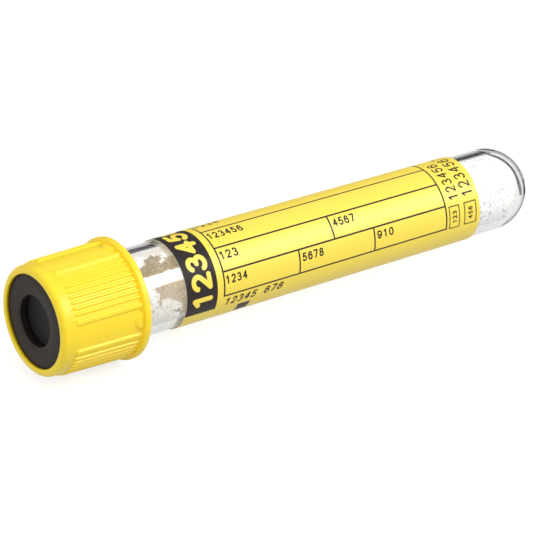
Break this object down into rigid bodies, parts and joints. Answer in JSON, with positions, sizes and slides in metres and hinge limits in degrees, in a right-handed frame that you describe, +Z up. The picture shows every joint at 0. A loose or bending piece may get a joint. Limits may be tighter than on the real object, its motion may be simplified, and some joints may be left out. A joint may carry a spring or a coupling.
{
  "type": "urinalysis tube",
  "caption": "Clear round-bottomed screw-cap sample tube with a wrap label, dry stabiliser powder, rubber stopper and ribbed cap, lying on its side.",
  "frame": {"origin": "centre of the footprint, on the surface the tube lies on", "axes": "+X towards the tube's round bottom (the cap points to -X), +Z up, +Y across the tube"},
  "size_m": [0.0838, 0.0172, 0.0172],
  "materials": {
    "clear_plastic": "clear moulded polyester, polished",
    "label_stock": "printed, satin",
    "powder": "dry granules",
    "stopper_rubber": "matt",
    "cap_plastic": "moulded polyethylene, satin gloss",
    "ring_plastic": "matt"
  },
  "bodies": {
    "tube_body": {"tube": "clear_plastic", "label": "label_stock", "stabiliser_powder": "powder"},
    "stopper_body": {"stopper": "stopper_rubber"},
    "cap_body": {"screw_cap": "cap_plastic", "cap_ring": "ring_plastic"}
  },
  "joints": [
    {"name": "lift_travel", "type": "slide", "parent": "tube_body", "child": "stopper_body", "axis": [-0.9991, 0, 0.0412], "range_m": [0, 0.0075]},
    {"name": "unscrew_turn", "type": "hinge", "parent": "stopper_body", "child": "cap_body", "pos_m": [-0.03308, 0, 0.00878], "axis": [-0.9991, 0, 0.0412], "range_deg": [0, 360]}
  ],
  "couplings": [
    {"joint": "unscrew_turn", "follows": "lift_travel", "rad_per_m": 837.76}
  ]
}
